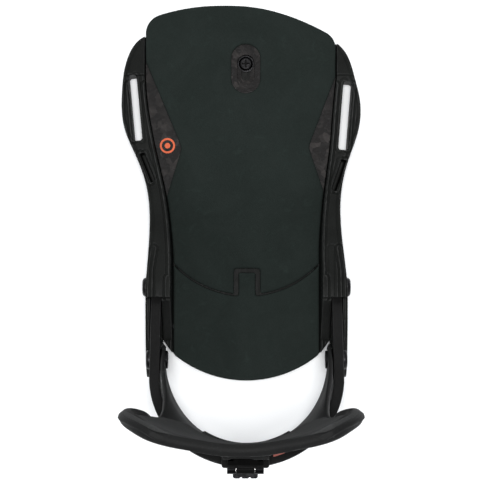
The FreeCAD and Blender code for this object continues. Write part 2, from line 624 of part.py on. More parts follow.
def hoop_plan(outer, inner):
    left_in, right_in = HEEL_X - inner, HEEL_X + inner
    front, shoulder = HOOP_FRONT_Y, HOOP_FRONT_Y - HOOP_TAPER_LENGTH
    bow, bow_in = hoop_bow(outer), hoop_bow(inner)
    left, right = bow[0][0], bow[-1][0]
    tip_left, tip_right = left + HOOP_TAPER, right - HOOP_TAPER
    return [
        [(tip_left, front), (left, shoulder)],
        [(left, shoulder), bow[0]],
        bow,
        [bow[-1], (right, shoulder)],
        [(right, shoulder), (tip_right, front)],
        [(tip_right, front), (right_in, front)],
        [(right_in, front), bow_in[-1]],
        bow_in[::-1],
        [bow_in[0], (left_in, front)],
        [(left_in, front), (tip_left, front)],
    ]


def hoop_side(trim):
    """Side view of the hoop's band, made narrower by trim at both edges."""
    low = [(10, 24), (-12, 23), (-34, 26), (-60, 38.5), (-85, 53.5), (-112, 68), (-140, 78.5)]
    high = [(-140, 108.4), (-112, 98), (-85, 82), (-60, 67), (-34, 54.6), (-12, 45.5), (10, 39)]
    low = [(y, z + trim) for y, z in low]
    high = [(y, z - trim) for y, z in high]
    return [low, [low[-1], high[0]], high, [high[-1], low[0]]]


def heel_hoop():
    body = prism(hoop_plan(HOOP_OUT, HOOP_IN), 10, 120).common(side_prism(hoop_side(0), -90, 90))
    cuts = [bow_ring(HOOP_OUT + 1, HOOP_OUT - 1).common(side_prism(hoop_side(8.5), -90, 90))]
    for s in (-1, 1):
        x0, x1 = sorted((HEEL_X + s * 45, HEEL_X + s * 65))
        cuts.append(side_slot(x0, x1, ANKLE_Y, ANKLE_Z, BOLT_R + 0.3, HOOP_TRAVEL + 0.3))
        cuts.append(side_slot(x0, x1, REAR_BOLT_Y, REAR_BOLT_Z, BOLT_R + 1.2, HOOP_TRAVEL + 0.3))
        seat = sorted((HEEL_X + s * 45, HEEL_X + s * (HOOP_IN + 2.3)))
        cuts.append(side_slot(*seat, REAR_BOLT_Y, REAR_BOLT_Z, NUT_R + 0.3, HOOP_TRAVEL + 0.3))
        cuts.append(rod(4.05, (x0, PIVOT_Y, PIVOT_Z), (x1, PIVOT_Y, PIVOT_Z)))
        inside = HEEL_X + s * (HOOP_IN - 3), HEEL_X + s * HOOP_IN
        cuts.append(rod(BUSH_FLANGE_R + 0.3, *((x, PIVOT_Y, PIVOT_Z) for x in inside)))
    return body.cut(cuts)


def bolt(centre, s, y, z, head_in, head_out, end, dome):
    """A bolt along X with its head on the outside; dome is the rounding of the head."""
    a, b, c = (centre + s * v for v in (head_in, head_out, end))
    head = rod(HEAD_R, (a, y, z), (b, y, z))
    rim = [e for e in head.Edges if abs(middle(e).x - b) < 0.01]
    head = head.makeFillet(dome, rim)
    socket = side_hex(b, s, y, z, 2.3, 1.6)
    return joined([head, rod(BOLT_R, (c, y, z), (a, y, z))]).cut(socket)


def side_hex(x, s, y, z, corner, deep):
    """A hexagonal drive recess along X, cut in from the outside."""
    return side_prism(hexagon(y, z, corner), *sorted((x + s * 0.5, x - s * deep)))


def ankle_bolts():
    """Domed bolts that hold the hoop, and the ankle strap when it is fitted."""
    seat, end = WALL_OUTER - SPOT_FACE, HEEL_HALF + 0.4
    return group(both(lambda c, s: bolt(c, s, ANKLE_Y, ANKLE_Z, seat, seat + 3.0, end, 2.2)))


def flange_nut(centre, s, spot, flange, barrel):
    """A nut from the inside: flange and barrel are (inner, outer, radius) from the centre line."""
    y, z = spot
    pieces = [rod(r, (centre + s * a, y, z), (centre + s * b, y, z)) for a, b, r in (flange, barrel)]
    bore = rod(BOLT_R + CLEAR, (centre + s * 40, y, z), (centre + s * 70, y, z))
    return joined(pieces).cut(bore)


def ankle_nuts():
    """Flanged nuts of the ankle bolts, sunk into the inner walls."""
    flange = (HEEL_HALF + 0.1, HEEL_HALF + 1.5, 6.9)
    barrel = (HEEL_HALF + 1.5, SLEEVE_IN - 0.4, 4.2)
    return group(both(lambda c, s: flange_nut(c, s, (ANKLE_Y, ANKLE_Z), flange, barrel)))


def hoop_nuts():
    """Nuts of the rear bolts, which slide in long seats on the inside of the hoop."""
    flange = (HOOP_IN + 0.3, HOOP_IN + 2.0, NUT_R)
    barrel = (HOOP_IN + 2.0, HOOP_IN + 4.0, BOLT_R + 0.9)
    return group(both(lambda c, s: flange_nut(c, s, (REAR_BOLT_Y, REAR_BOLT_Z), flange, barrel)))


def hoop_bolts():
    """Flush bolts at the rear of the walls."""
    return group(both(flush_bolt))


def flush_bolt(centre, s):
    a, b, c = (centre + s * v for v in (WALL_OUTER - 1.9, WALL_OUTER - 0.1, HOOP_IN + 0.5))
    head = rod(5.4, (a, REAR_BOLT_Y, REAR_BOLT_Z), (b, REAR_BOLT_Y, REAR_BOLT_Z))
    socket = side_hex(b, s, REAR_BOLT_Y, REAR_BOLT_Z, 2.3, 1.2)
    shank = rod(BOLT_R, (c, REAR_BOLT_Y, REAR_BOLT_Z), (a, REAR_BOLT_Y, REAR_BOLT_Z))
    return joined([head, shank]).cut(socket)


def pivot_bolts():
    """Bolts that the highback turns on."""
    end = BACK_OUT - ARM_THICK - PIVOT_NUT_THICK
    return group(both(lambda c, s: bolt(c, s, PIVOT_Y, PIVOT_Z, HOOP_OUT + 0.1, HOOP_OUT + 2.7, end, 1.6)))


def pivot_bushes():
    """Flanged bushes in the hoop that space the highback off it."""
    def bush(c, s):
        a, b, d = (c + s * v for v in (BACK_OUT + 0.1, HOOP_IN, HOOP_OUT - 0.2))
        body = joined([rod(BUSH_FLANGE_R, (a, PIVOT_Y, PIVOT_Z), (b, PIVOT_Y, PIVOT_Z)),
                       rod(4.0, (b, PIVOT_Y, PIVOT_Z), (d, PIVOT_Y, PIVOT_Z))])
        return body.cut(rod(BOLT_R + CLEAR, (c + s * 40, PIVOT_Y, PIVOT_Z), (c + s * 70, PIVOT_Y, PIVOT_Z)))
    return group(both(bush))


def pivot_nuts():
    """Low nuts on the inside of the highback's arms."""
    def nut(c, s):
        face = BACK_OUT - ARM_THICK
        a, b = c + s * (face - PIVOT_NUT_THICK), c + s * face
        body = rod(PIVOT_NUT_R, (a, PIVOT_Y, PIVOT_Z), (b, PIVOT_Y, PIVOT_Z))
        body = body.makeFillet(0.6, [e for e in body.Edges if abs(middle(e).x - a) < 0.01])
        return body.cut(rod(BOLT_R + CLEAR, (a - s * 3, PIVOT_Y, PIVOT_Z), (b + s * 3, PIVOT_Y, PIVOT_Z)))
    return group(both(nut))


# ---------------------------------------------------------------- highback
def back_rear(z):
    return BACK_REAR_Y + BACK_LEAN * max(0.0, z - BACK_LEAN_FROM)


def crescent(section, outer, inner):
    """One level section: an arc band with straight, round-nosed ends, between two depths from outside."""
    z, radius, half_angle, straight, centre = section[:5]
    middle_y = back_rear(z) + radius
    a = math.radians(half_angle)

    def at(depth, turn, ahead=0.0):
        r = radius - depth
        sign = math.copysign(1, turn)
        x = r * math.sin(turn) + sign * ahead * math.cos(turn)
        y = -r * math.cos(turn) + ahead * abs(math.sin(turn))
        return centre + x, middle_y + y

    half, nose = (outer + inner) / 2, straight + (inner - outer) / 2
    pieces = [
        [at(outer, -a), at(outer, 0), at(outer, a)],
        [at(outer, a), at(outer, a, straight)],
        [at(outer, a, straight), at(half, a, nose), at(inner, a, straight)],
        [at(inner, a, straight), at(inner, a)],
        [at(inner, a), at(inner, 0), at(inner, -a)],
        [at(inner, -a), at(inner, -a, straight)],
        [at(inner, -a, straight), at(half, -a, nose), at(outer, -a, straight)],
        [at(outer, -a, straight), at(outer, -a)],
    ]
    return wire(pieces, lambda x, y: V(x, y, z))


def back_loft(sections, pad_thick=None):
    """The shell through its sections, or a pad of that thickness on the inside of it."""
    wires = []
    for section in sections:
        outer, inner = 0, section[-1]
        if pad_thick:
            outer = section[-1] + PAD_CLEAR
            inner = outer + pad_thick
        wires.append(crescent(section, outer, inner))
    return Part.makeLoft(wires, True, False)


def back_lower_edge():
    """What comes off below the highback: round about the pivots, then rising to the rear."""
    front, low, lean = PIVOT_Y + EYE_R, PIVOT_Z - EYE_R, EYE_R * math.sqrt(0.5)
    return side_prism([
        [(-40, 20), (-40, PIVOT_Z)],
        [(-40, PIVOT_Z), (front, PIVOT_Z)],
        [(front, PIVOT_Z), (PIVOT_Y + lean, PIVOT_Z - lean), (PIVOT_Y, low)],
        [(PIVOT_Y, low), (PIVOT_Y - 4, low)],
        [(PIVOT_Y - 4, low), (-90, 58), (-112, 69.5), (-130, 77.5)],
        [(-130, 77.5), (-150, 77.5)],
        [(-150, 77.5), (-150, 20)],
        [(-150, 20), (-40, 20)],
    ], -90, 90)


def arm_eye(centre, s):
    """The round end of one arm about its pivot."""
    inner, outer = centre + s * (BACK_OUT - ARM_THICK), centre + s * BACK_OUT
    return rod(EYE_R, (inner, PIVOT_Y, PIVOT_Z), (outer, PIVOT_Y, PIVOT_Z))


def arm_cuts(centre, s):
    """The pivot's bore, and the flat seats of the bush's flange outside and of the nut inside."""
    def along_x(r, a, b):
        return rod(r, (centre + s * a, PIVOT_Y, PIVOT_Z), (centre + s * b, PIVOT_Y, PIVOT_Z))
    return [
        along_x(BOLT_R + CLEAR, BACK_OUT - 12, BACK_OUT + 8),
        along_x(EYE_R + 4, BACK_OUT, BACK_OUT + 3),
        along_x(PIVOT_NUT_R + 0.6, BACK_OUT - ARM_THICK - 3, BACK_OUT - ARM_THICK),
    ]


def back_window(centre, s):
    """An opening through the shell beside the spine."""
    x0, x1 = sorted((centre + s * 19, centre + s * 36))
    body = box(x0, x1, -140, -80, 128, 176)
    return rounded(body, 6.0, lambda e: runs_along(e, FORWARD))


def in_spine(shape):
    """From the adjuster's own frame onto the leaning back of the shell."""
    shape.rotate(V(0, 0, 0), V(1, 0, 0), -math.degrees(math.atan(BACK_LEAN)))
    shape.translate(V(SPINE_X, SPINE_Y, SPINE_Z))
    return shape


def rack_screw_holes():
    return [rod(1.6, (0, -8, z), (0, 6, z)) for z in RACK_SCREWS]


RACK_SCREWS = (52.0, 68.0)


def highback_shell():
    body = back_loft(BACK_SECTIONS).cut(back_lower_edge())
    body = joined([body] + both(arm_eye))
    boss = box(-BOSS_HALF, BOSS_HALF, -BOSS_DEPTH, 2.4, 0, BOSS_LENGTH)
    body = joined([body, in_spine(boss)])
    cuts = [back_window(SPINE_X, s) for s in (-1, 1)]
    cuts += [in_spine(h) for h in rack_screw_holes()]
    for holes in both(arm_cuts):
        cuts += holes
    return body.cut(cuts)


def upper_pad():
    """Foam liner of the highback, narrower at its lower end than the shell."""
    behind = BACK_SECTIONS[-len(PAD_HALF_ANGLES):]
    sections = [(s[0], s[1], angle, *s[3:]) for s, angle in zip(behind, PAD_HALF_ANGLES)]
    return back_loft(sections, UPPER_PAD_THICK).common(box(-90, 90, -150, 0, PAD_LOW, PAD_HIGH))


def lower_pad():
    """Thin foam below the liner."""
    sections = (
        (84.0, BACK_OUT, 31.0, 0.6, 3.5, 2.7),
        (100.0, BACK_OUT, 32.5, 0.6, 3.5, 2.7),
        (114.0, 55.2, 30.0, 0.6, 3.1, 3.0),
    )
    return back_loft(sections, LOWER_PAD_THICK)


# ---------------------------------------------------------------- forward-lean adjuster
def lean_rack():
    """Toothed rail on the spine, T-shaped so that the block can't come off it."""
    stem = box(-STEM_HALF, STEM_HALF, -RACK_STEM, -BOSS_DEPTH, RACK_LOW, RACK_HIGH)
    head = box(-RACK_HALF, RACK_HALF, -RACK_DEPTH, -RACK_STEM, RACK_LOW, RACK_HIGH)
    cuts = []
    root, out = -RACK_DEPTH + TOOTH_DEPTH, -RACK_DEPTH - 0.2
    for i in range(TEETH):
        z = TOOTH_LOW + TOOTH_PITCH * i
        groove = polygon([(root, z + 0.75), (out, z), (out, z + 1.5)])
        cuts.append(side_prism(groove, -RACK_HALF - 1, RACK_HALF + 1))
    for z in RACK_SCREWS:
        cuts.append(rod(1.6, (0, -8, z), (0, 0, z)))
        cuts.append(cone(3.6, 1.6, (0, -RACK_DEPTH, z), (0, -RACK_DEPTH + 2, z)))
    return in_spine(joined([stem, head]).cut(cuts))


def rack_screws():
    def screw(z):
        head = cone(3.4, 1.5, (0, -RACK_DEPTH + 0.1, z), (0, -RACK_DEPTH + 2, z))
        shank = rod(1.5, (0, -RACK_DEPTH + 2, z), (0, 0.9, z))
        cross = [box(-a, a, -8, -RACK_DEPTH + 1.1, z - b, z + b) for a, b in ((1.8, 0.4), (0.4, 1.8))]
        return in_spine(joined([head, shank]).cut(cross))
    return group([screw(z) for z in RACK_SCREWS])


def lean_block():
    """Slides on the rack and rests on the hoop; a lug on its back carries the lever."""
    front, gap = -BOSS_DEPTH - 0.2, 0.25
    pivot = (LEVER_PIVOT_Y, LEVER_PIVOT_Z)
    body = box(-BLOCK_HALF, BLOCK_HALF, -BLOCK_BACK, front, BLOCK_LOW, BLOCK_HIGH)
    body = rounded(body, 1.6, lambda e: runs_along(e, UP) and middle(e).y < front - 2)
    lug_root = box(-LUG_HALF, LUG_HALF, LEVER_PIVOT_Y, -BLOCK_BACK + 0.5, LEVER_PIVOT_Z - KNUCKLE_R,
                   LEVER_PIVOT_Z + KNUCKLE_R)
    body = joined([body, rod(KNUCKLE_R, (-LUG_HALF, *pivot), (LUG_HALF, *pivot)), lug_root])
    cuts = [
        box(-STEM_HALF - gap, STEM_HALF + gap, -RACK_STEM - gap, 0, -20, 40),
        box(-RACK_HALF - gap, RACK_HALF + gap, -RACK_DEPTH - gap, -RACK_STEM + gap, -20, 40),
        rod(LEVER_PIN_R + CLEAR, (-20, *pivot), (20, *pivot)),
        box(-6, 6, -20, -RACK_DEPTH, 2, 12),
    ]
    for s in (-1, 1):
        ends = sorted((s * (LUG_HALF + 0.01), s * (LEVER_HALF + 0.3)))
        cuts.append(rod(KNUCKLE_R + 0.35, (ends[0], *pivot), (ends[1], *pivot)))
        cuts.append(box(*ends, -20, LEVER_PIVOT_Y, LEVER_PIVOT_Z, LEVER_PIVOT_Z + KNUCKLE_R + 0.35))
    return in_spine(body.cut(cuts))


def lever_pin():
    half, pivot = LEVER_HALF - 0.2, (LEVER_PIVOT_Y, LEVER_PIVOT_Z)
    return in_spine(rod(LEVER_PIN_R, (-half, *pivot), (half, *pivot)))


def lean_lever():
    """Cam lever, closed flat against the block, with a scalloped lip to pull at its lower end."""
    inner, tip = -BLOCK_BACK - 0.4, 7.5
    pivot = (LEVER_PIVOT_Y, LEVER_PIVOT_Z)
    shoulder = LEVER_PIVOT_Z - KNUCKLE_R - 0.4
    outline = [(-LEVER_HALF, shoulder), (LEVER_HALF, shoulder), (LEVER_HALF, 12), (tip, 0.4), (-tip, 0.4),
               (-LEVER_HALF, 12)]
    plate = Part.Face(wire(polygon(outline), lambda x, z: V(x, inner, z))).extrude(V(0, -2.4, 0))
    pieces = [plate]
    for s in (-1, 1):
        ends = sorted((s * (LUG_HALF + 0.25), s * LEVER_HALF))
        pieces.append(rod(KNUCKLE_R, (ends[0], *pivot), (ends[1], *pivot)))
        pieces.append(box(*ends, inner - 2.4, inner, shoulder - 0.5, LEVER_PIVOT_Z))
    lip_end = inner - 6.4
    lip = box(-tip, tip, lip_end, inner - 1.0, 0.4, 2.8)
    lip = rounded(lip, 1.5, lambda e: runs_along(e, UP) and middle(e).y < inner - 4)
    body = joined(pieces + [lip])
    cuts = [rod(LEVER_PIN_R + CLEAR, (-20, *pivot), (20, *pivot))]
    cuts += [rod(0.8, (s * 2.6, lip_end, 0), (s * 2.6, lip_end, 3)) for s in (-1, 1)]
    cuts += [box(-5.5 + 4.0 * i, -2.5 + 4.0 * i, inner - 4, inner - 1.7, 5.0, 14) for i in range(3)]
    return in_spine(body.cut(cuts))


# ---------------------------------------------------------------- marks
def index_mark():
    """Round printed mark on the ramp, inside the left window."""
    x, y = -47.6, 63.0
    ring = rod(4.9, (x, y, 15), (x, y, 40)).cut(rod(3.7, (x, y, 15), (x, y, 40)))
    dot = rod(1.8, (x, y, 15), (x, y, 40))
    return group([s.common(ramp_slab(0, 0.25)) for s in (ring, dot)])


def hoop_mark():
    """Short printed stripe on the hoop's top edge, to the right of the adjuster."""
    ring = bow_ring(HOOP_IN + 1.9, HOOP_IN + 0.6)
    top = hoop_side(0)[2]
    raised = [(y, z + 0.25) for y, z in top]
    skin = [top, [top[-1], raised[-1]], raised[::-1], [raised[0], top[0]]]
    return ring.common(side_prism(skin, HEEL_X + 16, HEEL_X + 23))


PARTS = {
    "baseplate": baseplate,
    "base_bushings": base_bushings,
    "ride_rail_left": lambda: rail(-1),
    "ride_rail_right": lambda: rail(1),
    "rail_screws": rail_screws,
    "heel_pad": heel_pad,
    "toe_ramp": toe_ramp,
    "toe_pad": toe_pad,
    "index_mark": index_mark,
    "ramp_screw": ramp_screw,
    "ramp_washer": ramp_washer,
    "ramp_nut": ramp_nut,
    "pivot_housing": pivot_housing,
    "housing_screws": housing_screws,
    "pivot_pin_left": lambda: pivot_pin(-1),
    "pivot_pin_right": lambda: pivot_pin(1),
    "pin_spring": pin_spring,
    "release_plate": release_plate,
    "release_grip": release_grip,
    "heel_hoop": heel_hoop,
    "hoop_mark": hoop_mark,
    "ankle_bolts": ankle_bolts,
    "ankle_nuts": ankle_nuts,
    "hoop_bolts": hoop_bolts,
    "hoop_nuts": hoop_nuts,
    "pivot_bolts": pivot_bolts,
    "pivot_bushes": pivot_bushes,
    "pivot_nuts": pivot_nuts,
    "highback_shell": highback_shell,
    "upper_pad": upper_pad,
    "lower_pad": lower_pad,
    "lean_rack": lean_rack,
    "rack_screws": rack_screws,
    "lean_block": lean_block,
    "lever_pin": lever_pin,
    "lean_lever": lean_lever,
}

os.makedirs("parts", exist_ok=True)
low, high = V(1e9, 1e9, 1e9), V(-1e9, -1e9, -1e9)
for name, make in PARTS.items():
    shape = make()
    shape.translate(FRAME_SHIFT)
    shape.exportStep(f"parts/{name}.step")
    b = shape.BoundBox
    low = V(min(low.x, b.XMin), min(low.y, b.YMin), min(low.z, b.ZMin))
    high = V(max(high.x, b.XMax), max(high.y, b.YMax), max(high.z, b.ZMax))
    print(f"{name:18s} solids {len(shape.Solids)} valid {shape.isValid()} volume {shape.Volume:.0f}")
print("box", low, high)
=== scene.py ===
import json
import math

import bmesh
import bpy
import numpy as np
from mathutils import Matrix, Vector, noise
from mathutils.kdtree import KDTree

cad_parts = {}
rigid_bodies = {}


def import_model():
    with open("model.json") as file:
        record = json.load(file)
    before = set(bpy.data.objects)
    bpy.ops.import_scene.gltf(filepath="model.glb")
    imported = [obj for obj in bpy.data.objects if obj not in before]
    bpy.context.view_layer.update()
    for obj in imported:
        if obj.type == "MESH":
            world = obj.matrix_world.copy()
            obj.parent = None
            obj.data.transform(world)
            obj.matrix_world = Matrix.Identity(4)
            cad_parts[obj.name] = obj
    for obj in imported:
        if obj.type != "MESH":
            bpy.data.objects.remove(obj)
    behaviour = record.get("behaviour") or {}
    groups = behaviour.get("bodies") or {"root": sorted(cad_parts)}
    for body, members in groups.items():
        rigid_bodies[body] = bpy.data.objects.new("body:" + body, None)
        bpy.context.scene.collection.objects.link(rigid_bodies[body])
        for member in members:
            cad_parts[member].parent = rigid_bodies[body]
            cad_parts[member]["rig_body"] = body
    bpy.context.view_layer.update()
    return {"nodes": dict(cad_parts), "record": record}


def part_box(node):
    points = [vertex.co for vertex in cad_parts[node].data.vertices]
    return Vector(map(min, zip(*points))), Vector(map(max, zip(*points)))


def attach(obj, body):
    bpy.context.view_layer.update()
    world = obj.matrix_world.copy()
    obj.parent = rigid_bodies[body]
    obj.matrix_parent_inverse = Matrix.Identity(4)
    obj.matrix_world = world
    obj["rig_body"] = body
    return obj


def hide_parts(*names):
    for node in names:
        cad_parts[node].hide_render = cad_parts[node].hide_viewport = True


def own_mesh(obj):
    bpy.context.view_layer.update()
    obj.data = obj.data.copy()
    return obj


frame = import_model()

MM = 0.001
WELD = 2e-6                # the CAD faces' edges meet within this
EASE = 0.15 * MM           # room left round hardware that turns or slides in a moulded part
UP = np.array((0.0, 0.0, 1.0))
LEVEL = np.array((1.0, 1.0, 0.0))      # times a point: the point without its height
NODES = frame["nodes"]

for leftover in ("Cube", "Light", "Camera"):
    if leftover in bpy.data.objects:
        bpy.data.objects.remove(bpy.data.objects[leftover])


# ---------------------------------------------------------------- material toolkit
class Paint:
    """One material being made: adds shader nodes and joins them to its Principled shader."""

    def __init__(self, name, **uniform):
        self.material = bpy.data.materials.new(name)
        self.material.use_nodes = True
        self.tree = self.material.node_tree
        self.shader = self.tree.nodes["Principled BSDF"]
        for socket, value in uniform.items():
            self.shader.inputs[socket.replace("_", " ")].default_value = value
        self.place = self.add("ShaderNodeTexCoord").outputs["Object"]

    def add(self, kind, inputs=(), **settings):
        node = self.tree.nodes.new(kind)
        for key, value in settings.items():
            setattr(node, key, value)
        for key, value in dict(inputs).items():
            if isinstance(value, bpy.types.NodeSocket):
                self.tree.links.new(value, node.inputs[key])
            else:
                node.inputs[key].default_value = value
        return node

    def drive(self, socket, source):
        self.tree.links.new(source, self.shader.inputs[socket])

    def noise(self, scale, detail=3.0, roughness=0.55, distortion=0.0, vector=None):
        inputs = {"Vector": vector or self.place, "Scale": scale, "Detail": detail,
                  "Roughness": roughness, "Distortion": distortion}
        return self.add("ShaderNodeTexNoise", inputs).outputs["Fac"]

    def cells(self, scale, vector=None):
        return self.add("ShaderNodeTexVoronoi", {"Vector": vector or self.place, "Scale": scale})

    def spread(self, value, low, high, to_low, to_high, smooth=False):
        """The value's range from low to high, carried over to the range from to_low to to_high."""
        inputs = {"Value": value, "From Min": low, "From Max": high, "To Min": to_low, "To Max": to_high}
        kind = "SMOOTHSTEP" if smooth else "LINEAR"
        return self.add("ShaderNodeMapRange", inputs, interpolation_type=kind).outputs["Result"]

    def mix(self, share, a, b):
        node = self.add("ShaderNodeMix", data_type="RGBA")
        for socket, value in zip((node.inputs[0], node.inputs[6], node.inputs[7]), (share, a, b)):
            if isinstance(value, bpy.types.NodeSocket):
                self.tree.links.new(value, socket)
            else:
                socket.default_value = value if isinstance(value, float) else (*value, 1.0)
        return node.outputs[2]

    def maths(self, operation, a, b):
        return self.add("ShaderNodeMath", {0: a, 1: b}, operation=operation).outputs[0]

    def stretched(self, x, y, z):
        return self.add("ShaderNodeMapping", {"Vector": self.place, "Scale": (x, y, z)}).outputs["Vector"]

    def bump(self, height, distance, normal=None):
        inputs = {"Height": height, "Distance": distance, "Strength": 1.0}
        if normal is not None:
            inputs["Normal"] = normal
        return self.add("ShaderNodeBump", inputs).outputs["Normal"]

    def bevelled(self, radius):
        return self.add("ShaderNodeBevel", {"Radius": radius}, samples=4).outputs["Normal"]

    def edges(self, low, high):
        """1 on outer edges and 0 elsewhere, from how the dense mesh curves. The materials lighten these edges
        for wear and for a painted highlight.
        """
        point = self.add("ShaderNodeNewGeometry").outputs["Pointiness"]
        return self.spread(point, low, high, 0.0, 1.0, smooth=True)


def grey(value, warmth=0.0, green=0.0):
    return value * (1 + warmth), value * (1 + green), value * (1 - warmth)


def plastic(name, dark, light, roughness, grain=0.5 * MM, edge_radius=None, wear_and_highlight=0.12, **uniform):
    """Moulded glass-filled nylon: fine spark-eroded grain, faint flow clouds and lighter edges, partly polish
    and partly a painted highlight.
    """
    p = Paint(name, **uniform)
    clouds = p.noise(38.0, 4.0, 0.6, 0.8)
    grains = p.noise(1.0 / grain, 2.0, 0.5)
    body = p.mix(p.spread(clouds, 0.35, 0.68, 0.0, 1.0), dark, light)
    body = p.mix(p.spread(grains, 0.58, 0.72, 0.0, 0.45), body, tuple(min(1.0, c * 2.2) for c in light))
    scuffs = p.noise(300.0, 5.0, 0.7, 1.5, vector=p.stretched(1.0, 0.25, 1.0))
    rough = p.maths("ADD", p.spread(clouds, 0.3, 0.7, roughness - 0.05, roughness + 0.05),
                    p.spread(scuffs, 0.35, 0.7, -0.05, 0.07))
    normal = p.bevelled(edge_radius) if edge_radius else None
    if not edge_radius:
        # Edges lighten towards pale grey: partly polished wear, partly a painted highlight.
        worn_and_highlit = p.maths("MULTIPLY", p.edges(0.51, 0.56), p.spread(scuffs, 0.4, 0.6, 0.3, 1.0))
        body = p.mix(p.maths("MULTIPLY", worn_and_highlit, wear_and_highlight), body, (0.22, 0.22, 0.22))
    p.drive("Base Color", body)
    p.drive("Roughness", rough)
    p.drive("Normal", p.bump(grains, 0.03 * MM, normal))
    return p.material


def foam(name, dark, light, pore=0.45 * MM, roughness=0.86):
    """Closed-cell foam with a fine skin of pores, soft, cloudy wear and lighter edges that are partly wear
    and partly a painted highlight.
    """
    p = Paint(name, Specular_IOR_Level=0.12)
    clouds = p.noise(22.0, 5.0, 0.62, 1.2)
    pores = p.cells(1.0 / pore).outputs["Distance"]
    fine = p.noise(2600.0, 2.0)
    dirt = p.noise(120.0, 6.0, 0.7, 0.6)
    body = p.mix(p.spread(clouds, 0.35, 0.66, 0.0, 1.0), dark, light)
    body = p.mix(p.spread(pores, 0.35, 0.6, 0.0, 0.35), body, tuple(c * 0.45 for c in dark))
    body = p.mix(p.spread(dirt, 0.56, 0.74, 0.0, 0.3), body, tuple(c * 1.9 for c in light))
    # Edges lighten: partly wear, partly a painted highlight.
    worn_and_highlit = p.edges(0.515, 0.58)
    body = p.mix(p.maths("MULTIPLY", worn_and_highlit, 0.25), body, tuple(c * 2.4 for c in light))
    p.drive("Base Color", body)
    p.drive("Roughness", p.spread(dirt, 0.3, 0.75, roughness - 0.05, roughness + 0.08))
    height = p.maths("ADD", p.spread(pores, 0.0, 0.7, 1.0, 0.0), p.maths("MULTIPLY", fine, 0.5))
    p.drive("Normal", p.bump(height, 0.05 * MM))
    return p.material


def speckled(name, base, fleck, roughness):
    """Fibre-filled plastic with pale flecks, as on the highback."""
    p = Paint(name, Specular_IOR_Level=0.1)
    clouds = p.noise(30.0, 4.0, 0.6, 0.8)
    flecks = p.cells(1500.0)
    chosen = p.spread(flecks.outputs["Color"], 0.62, 0.9, 0.0, 1.0)
    spot = p.spread(flecks.outputs["Distance"], 0.1, 0.34, 1.0, 0.0, smooth=True)
    fibres = p.noise(900.0, 2.0, 0.5, 0.0, vector=p.stretched(1.0, 1.0, 0.18))
    darker, lighter = (tuple(c * share for c in base) for share in (0.85, 1.15))
    body = p.mix(p.spread(clouds, 0.3, 0.7, 0.0, 1.0), darker, lighter)
    body = p.mix(p.spread(fibres, 0.55, 0.75, 0.0, 0.4), body, tuple(c * 1.8 for c in base))
    body = p.mix(p.maths("MULTIPLY", chosen, p.maths("MULTIPLY", spot, 0.7)), body, fleck)
    # Edges lighten towards the fleck colour: partly wear, partly a painted highlight.
    worn_and_highlit = p.maths("MULTIPLY", p.edges(0.515, 0.58), 0.3)
    p.drive("Base Color", p.mix(worn_and_highlit, body, fleck))
    p.drive("Roughness", p.spread(clouds, 0.3, 0.7, roughness - 0.06, roughness + 0.06))
    height = p.maths("ADD", p.noise(1600.0, 2.0), p.maths("MULTIPLY", spot, 0.4))
    p.drive("Normal", p.bump(height, 0.05 * MM))
    return p.material


def forged_composite(name):
    """Chopped fibre bundles pressed in resin: flakes of fine strands, each lying its own way."""
    p = Paint(name, Specular_IOR_Level=0.05)
    warp = p.add("ShaderNodeTexNoise", {"Vector": p.place, "Scale": 140.0, "Detail": 2.0}).outputs["Color"]
    bend = (6.0 * MM,) * 3
    bent = p.add("ShaderNodeVectorMath", {0: warp, 1: bend, 2: p.place}, operation="MULTIPLY_ADD")
    flakes = p.cells(260.0, vector=bent.outputs[0])
    turn = p.maths("MULTIPLY", flakes.outputs["Color"], math.pi)
    lay = p.add("ShaderNodeVectorRotate", {"Vector": p.place, "Angle": turn}, rotation_type="Z_AXIS")
    drawn = p.add("ShaderNodeMapping", {"Vector": lay.outputs[0], "Scale": (1.0, 0.12, 1.0)})
    strands = p.noise(2400.0, 3.0, 0.6, vector=drawn.outputs["Vector"])
    tone = p.spread(flakes.outputs["Color"], 0.45, 0.9, 0.0, 1.0, smooth=True)
    body = p.mix(tone, (0.0036, 0.0032, 0.0032), (0.025, 0.022, 0.021))
    body = p.mix(p.spread(strands, 0.5, 0.68, 0.0, 0.35), body, (0.041, 0.036, 0.034))
    body = p.mix(p.spread(p.noise(70.0, 3.0), 0.38, 0.6, 0.8, 0.0), body, (0.0055, 0.005, 0.005))
    p.drive("Base Color", body)
    p.drive("Roughness", p.spread(strands, 0.3, 0.7, 0.36, 0.56))
    p.drive("Normal", p.bump(strands, 0.02 * MM, p.bevelled(0.3 * MM)))
    return p.material


